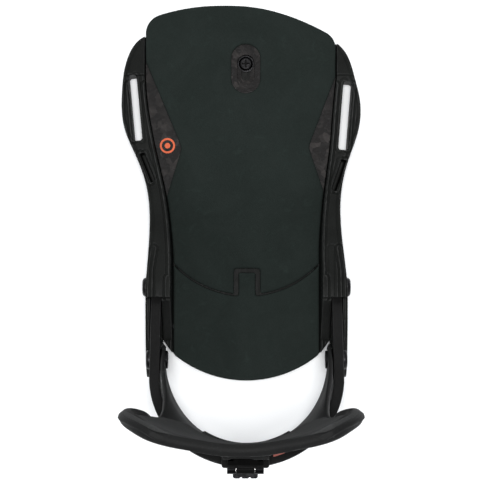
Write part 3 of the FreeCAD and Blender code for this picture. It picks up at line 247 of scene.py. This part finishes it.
def metal(name, colour, roughness, brush=(1.0, 1.0, 1.0), wear_and_highlight=0.3, edge_radius=0.25 * MM, painted_shade_below=None):
    """Turned or brushed metal with drawn scratches, tarnish and bright edges, partly rubbed and partly a
    painted highlight. Below a height it can be
    painted black: painted shade, as in a screw's recess."""
    p = Paint(name, Metallic=1.0)
    lines = p.noise(1500.0, 3.0, 0.6, vector=p.stretched(*brush))
    tarnish = p.noise(160.0, 5.0, 0.65, 0.8)
    true = p.add("ShaderNodeNewGeometry").outputs["Normal"]
    soft = p.bevelled(edge_radius)
    apart = p.add("ShaderNodeVectorMath", {0: true, 1: soft}, operation="DOT_PRODUCT").outputs["Value"]
    # Where the bevelled normal turns from the true one the edge lightens: partly rubbed metal, partly a
    # painted highlight.
    rubbed_and_highlit_edge = p.spread(apart, 0.97, 0.85, 0.0, wear_and_highlight, smooth=True)
    body = p.mix(p.spread(tarnish, 0.35, 0.7, 0.0, 0.5), colour, tuple(c * 0.6 for c in colour))
    body = p.mix(p.spread(lines, 0.55, 0.7, 0.0, 0.3), body, tuple(min(1.0, c * 1.5) for c in colour))
    body = p.mix(rubbed_and_highlit_edge, body, (0.62, 0.61, 0.6))
    if painted_shade_below:
        height = p.add("ShaderNodeSeparateXYZ", {0: p.place}).outputs["Z"]
        # Painted shade: black below the given height, as in a screw's recess.
        body = p.mix(p.spread(height, painted_shade_below - 0.3 * MM, painted_shade_below, 1.0, 0.0), body, grey(0.002))
    p.drive("Base Color", body)
    p.drive("Roughness", p.maths("ADD", p.spread(lines, 0.3, 0.7, roughness - 0.08, roughness + 0.08),
                                 p.spread(tarnish, 0.4, 0.7, -0.03, 0.1)))
    p.drive("Normal", p.bump(lines, 0.008 * MM, soft))
    return p.material


def print_ink(name, colour):
    """Pad-printed ink: thin, slightly broken and matte."""
    p = Paint(name, Specular_IOR_Level=0.3)
    gaps = p.noise(1900.0, 3.0, 0.7)
    body = p.mix(p.spread(gaps, 0.55, 0.72, 0.0, 0.6), colour, tuple(c * 0.3 for c in colour))
    p.drive("Base Color", body)
    p.drive("Roughness", p.spread(gaps, 0.3, 0.7, 0.45, 0.7))
    p.drive("Normal", p.bump(gaps, 0.02 * MM))
    return p.material


MATERIALS = {
    "base_plastic": plastic("base_plastic", grey(0.0052, 0, 0.08), grey(0.0085, 0, 0.08), 0.5,
                            Specular_IOR_Level=0.055),
    "hoop_plastic": plastic("hoop_plastic", grey(0.0048), grey(0.0085), 0.46, Specular_IOR_Level=0.06),
    "highback_plastic": speckled("highback_plastic", grey(0.0078, -0.01, 0.01), grey(0.055), 0.6),
    "liner_foam": foam("liner_foam", grey(0.027, -0.01, 0.01), grey(0.037, -0.01, 0.01)),
    "dark_foam": foam("dark_foam", grey(0.0042, -0.1, 0.1), grey(0.0065, -0.1, 0.1)),
    "footbed_foam": foam("footbed_foam", (0.0098, 0.0140, 0.0124), (0.0128, 0.0178, 0.0160)),
    "ramp_composite": forged_composite("ramp_composite"),
    "bushing_rubber": foam("bushing_rubber", grey(0.02), grey(0.03), pore=0.8 * MM, roughness=0.75),
    "rail_metal": metal("rail_metal", (0.08, 0.081, 0.085), 0.36, brush=(1.0, 0.03, 1.0)),
    "housing_metal": metal("housing_metal", (0.16, 0.16, 0.165), 0.42, brush=(0.03, 1.0, 1.0)),
    "screw_steel": metal("screw_steel", (0.009, 0.009, 0.0095), 0.45, wear_and_highlight=0.05),
    "bolt_steel": metal("bolt_steel", (0.018, 0.018, 0.019), 0.42, wear_and_highlight=0.16),
    "pin_steel": metal("pin_steel", (0.52, 0.51, 0.5), 0.24, brush=(0.05, 1.0, 1.0), wear_and_highlight=0.2),
    # Its lighter edges are mostly a painted highlight on the frame's rims, partly wear.
    "adjuster_plastic": plastic("adjuster_plastic", grey(0.002), grey(0.0035), 0.5, grain=0.3 * MM,
                                wear_and_highlight=0.35, Specular_IOR_Level=0.03),
    "rack_plastic": plastic("rack_plastic", grey(0.0012), grey(0.002), 0.6, grain=0.3 * MM,
                            edge_radius=0.2 * MM, Specular_IOR_Level=0.015),
    "lever_metal": metal("lever_metal", (0.005, 0.005, 0.0053), 0.42, brush=(1.0, 1.0, 0.05), wear_and_highlight=0.12),
    "accent_orange": print_ink("accent_orange", (0.55, 0.085, 0.02)),
    "grip_rubber": foam("grip_rubber", grey(0.01), grey(0.016), pore=0.6 * MM, roughness=0.7),
}
SLOT_OF_NODE = {part["node"]: part["material_slot"] for part in frame["record"]["subparts"]}


# ---------------------------------------------------------------- mesh toolkit
def placed(name, data):
    """A new object in the scene."""
    obj = bpy.data.objects.new(name, data)
    bpy.context.scene.collection.objects.link(obj)
    return obj


def mesh_from(bm, name):
    mesh = bpy.data.meshes.new(name)
    bm.to_mesh(mesh)
    bm.free()
    return mesh


def apply(obj, kind, **settings):
    """Puts one modifier on the object and makes its result the object's mesh."""
    modifier = obj.modifiers.new(kind, kind)
    for key, value in settings.items():
        setattr(modifier, key, value)
    graph = bpy.context.evaluated_depsgraph_get()
    graph.update()
    mesh = bpy.data.meshes.new_from_object(obj.evaluated_get(graph))
    obj.modifiers.clear()
    obj.data = mesh


def points(obj):
    co = np.empty(len(obj.data.vertices) * 3)
    obj.data.vertices.foreach_get("co", co)
    return co.reshape(-1, 3)


def normals(obj):
    out = np.empty(len(obj.data.vertices) * 3)
    obj.data.vertices.foreach_get("normal", out)
    return out.reshape(-1, 3)


def move_points(obj, co):
    obj.data.vertices.foreach_set("co", co.ravel())
    obj.data.update()


def moulded(node, name, voxel, rounds, seats=(), grown=None):
    """The CAD node's own shape on a dense even mesh, its edges rounded by smoothing, except where a piece of
    hardware turns or slides in it: seats are (hardware node, room round it along Y). grown is a mesh that
    becomes one with it."""
    bm = bmesh.new()
    bm.from_mesh(NODES[node].data)
    if grown:
        bm.from_mesh(grown)
    bmesh.ops.remove_doubles(bm, verts=bm.verts, dist=WELD)
    obj = placed(name, mesh_from(bm, name))
    apply(obj, "REMESH", mode="VOXEL", voxel_size=voxel)
    sharp, up = points(obj), normals(obj)
    apply(obj, "SMOOTH", factor=0.5, iterations=rounds)
    co = points(obj)
    for hardware, along in seats:
        low, high = (np.array(corner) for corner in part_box(hardware))
        room = np.array((1.5 * MM, along, 1.5 * MM))
        inside = np.all((sharp > low - room) & (sharp < high + room), axis=1)
        co[inside] = sharp[inside] - EASE * up[inside]
    move_points(obj, co)
    return obj


def distance_to(co, targets):
    """Each point's distance to the nearest of the targets."""
    tree = KDTree(len(targets))
    for i, target in enumerate(targets):
        tree.insert(target, i)
    tree.balance()
    return np.array([tree.find(p)[2] for p in co])


def line(distance, place, width):
    """1 at one distance, falling to 0 on both sides of it."""
    return np.exp(-((distance - place) / width) ** 2)


def smoothstep(x):
    x = np.clip(x, 0.0, 1.0)
    return x * x * (3 - 2 * x)


def facing(co):
    """Unit vectors from each point on the highback towards the boot, level."""
    boot = np.array((0.0, -0.02))
    out = np.zeros_like(co)
    out[:, :2] = boot - co[:, :2]
    return out / np.linalg.norm(out, axis=1)[:, None]


def wing_share(x):
    """0 over the middle of the highback, rising to 1 at its wings' tips."""
    return smoothstep((np.abs(x) - 34 * MM) / (28 * MM))


def finished(obj, node, keep=1.0):
    """Thins the mesh, gives it the node's material and lets it stand for the node."""
    if keep < 1:
        apply(obj, "DECIMATE", ratio=keep)
    obj.data.shade_smooth()
    slot = SLOT_OF_NODE[node]
    obj.data.materials.clear()
    obj.data.materials.append(MATERIALS[slot])
    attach(obj, NODES[node]["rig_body"])
    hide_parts(node)
    return obj


# ---------------------------------------------------------------- baseplate
WALL_TOP = 17 * MM         # the tops of the walls lie above this
WALL_SIDE = 56 * MM        # and their outer faces beyond this, from the middle


def line_wall_tops(co, up, high, sideways, outside):
    """A fine ridge and groove along the inner edge of the walls' tops, and a soft step along the outer."""
    inner = co[high & (sideways < -0.75) & (co[:, 1] < 96 * MM)]
    outer = co[high & (sideways > 0.75) & outside]
    top = high & (up[:, 2] > 0.75)
    from_inner = distance_to(co[top] * LEVEL, inner[::2] * LEVEL)
    from_outer = distance_to(co[top] * LEVEL, outer[::2] * LEVEL)
    ridge = 0.4 * line(from_inner, 1.2 * MM, 0.5 * MM)
    groove = 0.9 * line(from_inner, 2.4 * MM, 0.5 * MM)
    step = 0.5 * line(from_outer, 2.2 * MM, 0.45 * MM)
    co[top, 2] += (ridge - groove - step) * MM * smoothstep((up[top, 2] - 0.75) / 0.2)


def press_side_panels(co, up, high, sideways, outside):
    """A shallow panel in each side, with slanting ribs in its heel half."""
    rim = co[high & (sideways > 0.3) & (up[:, 2] > 0.3) & outside]
    flank = (sideways > 0.8) & outside & (co[:, 1] > -18 * MM)
    side = co[flank]
    y, z = side[:, 1], side[:, 2]
    inside = smoothstep((distance_to(side, rim[::2]) - 5 * MM) / MM) * smoothstep((z - 5.5 * MM) / MM)
    inside *= smoothstep((y + 16 * MM) / MM) * smoothstep((106 * MM - y) / MM)
    ribs = line(np.mod(y - z * 0.5, 14 * MM), 7 * MM, 0.7 * MM) * smoothstep((30 * MM - y) / (8 * MM))
    co[flank] -= up[flank] * (inside * (0.8 - 0.5 * ribs) * MM)[:, None]


def base_shell():
    """The baseplate, with lined wall tops and pressed sides."""
    obj = moulded("baseplate", "baseplate_moulded", 0.5 * MM, 4)
    co, up = points(obj), normals(obj)
    high = co[:, 2] > WALL_TOP
    sideways = up[:, 0] * np.sign(co[:, 0])
    outside = np.abs(co[:, 0]) > WALL_SIDE
    line_wall_tops(co, up, high, sideways, outside)
    press_side_panels(co, up, high, sideways, outside)
    move_points(obj, co)
    finished(obj, "baseplate", 0.18)


# ---------------------------------------------------------------- heel hoop
def hoop_shell():
    obj = moulded("heel_hoop", "heel_hoop_moulded", 0.5 * MM, 8, seats=[("hoop_nuts", 7.5 * MM)])
    return finished(obj, "heel_hoop", 0.4)


def hoop_ticks(hoop):
    """Fine printed scale ticks on the hoop's top edge, across from the printed stripe."""
    low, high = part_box("hoop_mark")
    heel_x, arc_y = 3.5 * MM, -88.2 * MM
    across, deep = 54.8 * MM, 48.0 * MM
    span, centre = high.x - low.x, 2 * heel_x - (low.x + high.x) / 2
    bm = bmesh.new()
    for i in range(7):
        x = centre + span * (i / 6 - 0.5) * 1.3
        y = arc_y - math.sqrt(1 - ((x - heel_x) / across) ** 2) * deep
        hit, place, normal, _ = hoop.ray_cast(Vector((x, y, 0.2)), Vector((0, 0, -1)))
        if hit:
            length = (1.5 if i % 3 == 0 else 0.9) * MM
            turn = normal.to_track_quat("Z", "Y").to_matrix().to_4x4()
            for v in bmesh.ops.create_cube(bm, size=1.0)["verts"]:
                v.co = place + turn @ Vector((v.co.x * 0.35 * MM, v.co.y * length, v.co.z * 0.16 * MM))
    obj = placed("hoop_ticks", mesh_from(bm, "hoop_ticks"))
    obj.data.materials.append(print_ink("tick_ink", grey(0.10)))
    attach(obj, "hoop")


# ---------------------------------------------------------------- highback
BACK_MIDDLE = 165 * MM     # about halfway up the highback


def free_edge(co):
    """Points along the highback's free edge, from one wing over the top to the other."""
    top = co[:, 2].max()
    left, right, over = [], [], []
    for z in np.arange(150 * MM, top - 3 * MM, MM):
        level = co[np.abs(co[:, 2] - z) < 0.4 * MM]
        left.append(level[np.argmin(level[:, 0])])
        right.append(level[np.argmax(level[:, 0])])
    crest = co[co[:, 2] > top - 0.6 * MM]
    for x in np.arange(-47 * MM, 47.5 * MM, MM):
        over.append(crest[np.abs(crest[:, 0] - x) < MM].mean(axis=0))
    return np.array(left + over + right[::-1])


def evened(path):
    """The path with its corners eased: each point moves to the middle of those around it, three times."""
    ends, run = path[[0, -1]], 5
    for _ in range(3):
        padded = np.vstack([ends[:1].repeat(run, 0), path, ends[1:].repeat(run, 0)])
        path = np.array([padded[i:i + 2 * run + 1].mean(axis=0) for i in range(len(path))])
    return path


def roll_line(co):
    """The middle line of the roll: set in from the free edge, towards the boot over the top and away from
    it at the wings."""
    path = evened(free_edge(co))
    inward = np.array((0.0, 0.0, BACK_MIDDLE)) - path
    inward[:, 1] = 0
    inward /= np.linalg.norm(inward, axis=1)[:, None]
    aside = np.abs(path[:, :1])
    tip = smoothstep((aside - 52 * MM) / (14 * MM))
    inset = (2.6 + 1.2 * wing_share(aside) + 2.0 * tip) * MM
    ahead = (1.4 - 2.8 * smoothstep((aside - 22 * MM) / (30 * MM)) + 0.2 * tip) * MM
    return path + inset * inward + ahead * facing(path)


def edge_roll(path, radius, wing_radius):
    """A round roll along the highback's free edge, thicker at the wings and fading out at its lower ends."""
    curve = bpy.data.curves.new("edge_roll", "CURVE")
    curve.dimensions, curve.bevel_depth, curve.bevel_resolution = "3D", MM, 8
    curve.use_fill_caps = True
    spline = curve.splines.new("POLY")
    spline.points.add(len(path) - 1)
    thick = radius + (wing_radius - radius) * wing_share(path[:, 0])
    thick *= smoothstep((path[:, 2] - 146 * MM) / (22 * MM))
    for point, place, size in zip(spline.points, path, thick):
        point.co = (*place, 1.0)
        point.radius = size / MM
    obj = bpy.data.objects.new("edge_roll", curve)
    mesh = bpy.data.meshes.new_from_object(obj)
    bpy.data.objects.remove(obj)
    return mesh


def back_lift(co, up):
    """How far the highback's back stands out: beads round its windows and edges, and three bowed upright
    grooves each side of the spine."""
    across = -np.sum(up * facing(co), axis=1)
    height = co[:, 2]
    rim = co[(np.abs(across) < 0.35) & (height < 200 * MM)]
    near = line(distance_to(co, rim[::3]), 1.0 * MM, 1.6 * MM)
    span = smoothstep((height - 118 * MM) / (14 * MM)) * smoothstep((200 * MM - height) / (10 * MM))
    aside = np.abs(co[:, 0] - 1.0 * MM)
    lift = 0.7 * MM * near
    for x, bow in ((41 * MM, 4.0), (46 * MM, 5.0), (51 * MM, 6.0)):
        lift -= 0.9 * MM * line(aside, x - bow * (height - BACK_MIDDLE) ** 2, 0.9 * MM) * span * (1 - near)
    return lift * smoothstep((height - 88 * MM) / (14 * MM)) * smoothstep((across - 0.5) / 0.3)


def back_shell():
    """The highback with its roll. Gives back the roll's middle line."""
    probe = moulded("highback_shell", "probe", 0.7 * MM, 2)
    middle = roll_line(points(probe))
    bpy.data.objects.remove(probe)
    obj = moulded("highback_shell", "highback_moulded", 0.5 * MM, 6, seats=[("pivot_nuts", 1.5 * MM)],
                  grown=edge_roll(middle, 3.5 * MM, 4.85 * MM))
    co = points(obj)
    move_points(obj, co - facing(co) * back_lift(co, normals(obj))[:, None])
    finished(obj, "highback_shell", 0.4)
    return middle


# ---------------------------------------------------------------- adjuster and spring
def adjuster():
    finished(moulded("lean_block", "lean_block_moulded", 0.22 * MM, 5), "lean_block", 0.4)
    finished(moulded("lean_lever", "lean_lever_cast", 0.2 * MM, 5), "lean_lever", 0.5)


def coil_spring():
    """The spring between the pivot pins, kept as the CAD node shapes it."""
    obj = finished(placed("pin_spring_coil", NODES["pin_spring"].data.copy()), "pin_spring")
    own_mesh(obj)


# ---------------------------------------------------------------- pads
FLAT_PADS = ("toe_pad", "heel_pad")


def foam_pad(node, voxel, rounds, swell, backing=0.0, hem=None):
    """A moulded pad: rounded rim, slightly crowned face and a skin that is not quite even.
    backing sinks its back into what it is bonded to, so that no gap shows. Along a hem, a line of points,
    it dives under the roll that frames it."""
    obj = moulded(node, node + "_foam", voxel, rounds)
    if backing:
        co = points(obj)
        away = -np.sum(normals(obj) * facing(co), axis=1)
        move_points(obj, co - facing(co) * (backing * smoothstep((away + 0.3) / 0.6))[:, None])
    co, up = points(obj), normals(obj)
    flat = node in FLAT_PADS
    front = UP if flat else facing(co)
    on_rim = np.abs(up[:, 2]) < 0.5 if flat else np.linalg.norm(up - front, axis=1) > 0.9
    inward = smoothstep(distance_to(co, co[on_rim][::3]) / (9 * MM))
    uneven = np.array([noise.noise(Vector(p) * 70.0) for p in co])
    face = smoothstep((np.sum(up * front, axis=1) - 0.5) * 3)
    co += up * (face * (swell * inward + 0.07 * MM * uneven))[:, None]
    if hem is not None:
        beside = 1 - smoothstep((distance_to(co, hem) - 3 * MM) / (4 * MM))
        co -= facing(co) * ((1.6 + wing_share(co[:, 0])) * MM * beside)[:, None]
    move_points(obj, co)
    finished(obj, node, 0.5)


base_shell()
moulded_hoop = hoop_shell()
roll_middle = back_shell()
adjuster()
foam_pad("toe_pad", 0.8 * MM, 8, 0.35 * MM)
foam_pad("heel_pad", 0.7 * MM, 8, 0.4 * MM)
foam_pad("upper_pad", 0.6 * MM, 7, 0.4 * MM, backing=1.3 * MM, hem=roll_middle)
foam_pad("lower_pad", 0.5 * MM, 6, 0.2 * MM, backing=0.8 * MM)
hoop_ticks(moulded_hoop)
coil_spring()


# ---------------------------------------------------------------- hardware that stays as designed
def dress_hardware():
    for node, obj in NODES.items():
        if not obj.hide_render:
            obj.data.materials.clear()
            obj.data.materials.append(MATERIALS[SLOT_OF_NODE[node]])
    head_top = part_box("ramp_screw")[1].z
    # The ramp screw is painted black from 0.9 mm below its head's top: painted shade in its recess.
    steel = metal("ramp_screw_steel", (0.007, 0.007, 0.0073), 0.42, wear_and_highlight=0.08, edge_radius=0.15 * MM,
                  painted_shade_below=head_top - 0.9 * MM)
    NODES["ramp_screw"].data.materials[0] = steel
    NODES["hoop_mark"].data.materials[0] = print_ink("hoop_ink", (0.33, 0.10, 0.08))


dress_hardware()


# ---------------------------------------------------------------- studio
def floor():
    """A wide sheet of pale paper, a hair below the rails so that the two faces don't meet."""
    half, low = 4.0, -0.2 * MM
    corners = [(-half, -half, low), (half, -half, low), (half, half, low), (-half, half, low)]
    mesh = bpy.data.meshes.new("floor")
    mesh.from_pydata(corners, [], [(0, 1, 2, 3)])
    p = Paint("floor_paper", Specular_IOR_Level=0.1)
    p.drive("Base Color", p.mix(p.noise(3.0), (0.93, 0.935, 0.94), (0.9, 0.91, 0.92)))
    p.drive("Roughness", p.spread(p.noise(400.0), 0.3, 0.7, 0.85, 0.95))
    mesh.materials.append(p.material)
    placed("floor", mesh)


def lamp(name, place, aim, size, power):
    data = bpy.data.lights.new(name, "AREA")
    data.shape, data.size, data.energy = "DISK", size, power
    obj = placed(name, data)
    obj.location = place
    obj.rotation_euler = (Vector(aim) - Vector(place)).to_track_quat("-Z", "Y").to_euler()


def studio():
    world = bpy.data.worlds.new("studio")
    world.use_nodes = True
    world.node_tree.nodes["Background"].inputs["Color"].default_value = (0.94, 0.97, 1.0, 1.0)
    world.node_tree.nodes["Background"].inputs["Strength"].default_value = 0.35
    bpy.context.scene.world = world
    lamp("overhead", (0.0, 0.02, 2.4), (0, 0, 0), 0.45, 50.0)
    lamp("toe_light", (0.1, 1.4, 1.2), (0, 0, 0.05), 1.0, 9.0)
    lamp("left_light", (-1.4, 0.2, 0.9), (0, 0, 0.05), 0.8, 5.0)
    lamp("heel_light", (0.6, -1.3, 0.8), (0, 0, 0.05), 0.8, 5.0)
    bpy.context.scene.view_settings.view_transform = "Standard"


VIEW_HEIGHT, VIEW_WIDTH = 1.2, 0.3168      # the view's width where the object stands
AXIS_Y = -0.0062
SHIFT_X, SHIFT_Y = -0.0020833, 0.00625     # the lens's shift, in shares of the view's width


def top_camera():
    """Straight above the object. Unturned, a camera looks down with the toe at the top of its view."""
    data = bpy.data.cameras.new("camera")
    data.angle = 2 * math.atan(VIEW_WIDTH / 2 / VIEW_HEIGHT)
    data.shift_x, data.shift_y = SHIFT_X, SHIFT_Y
    obj = placed("camera", data)
    obj.location = (0, AXIS_Y, VIEW_HEIGHT)
    bpy.context.scene.camera = obj


floor()
studio()
top_camera()
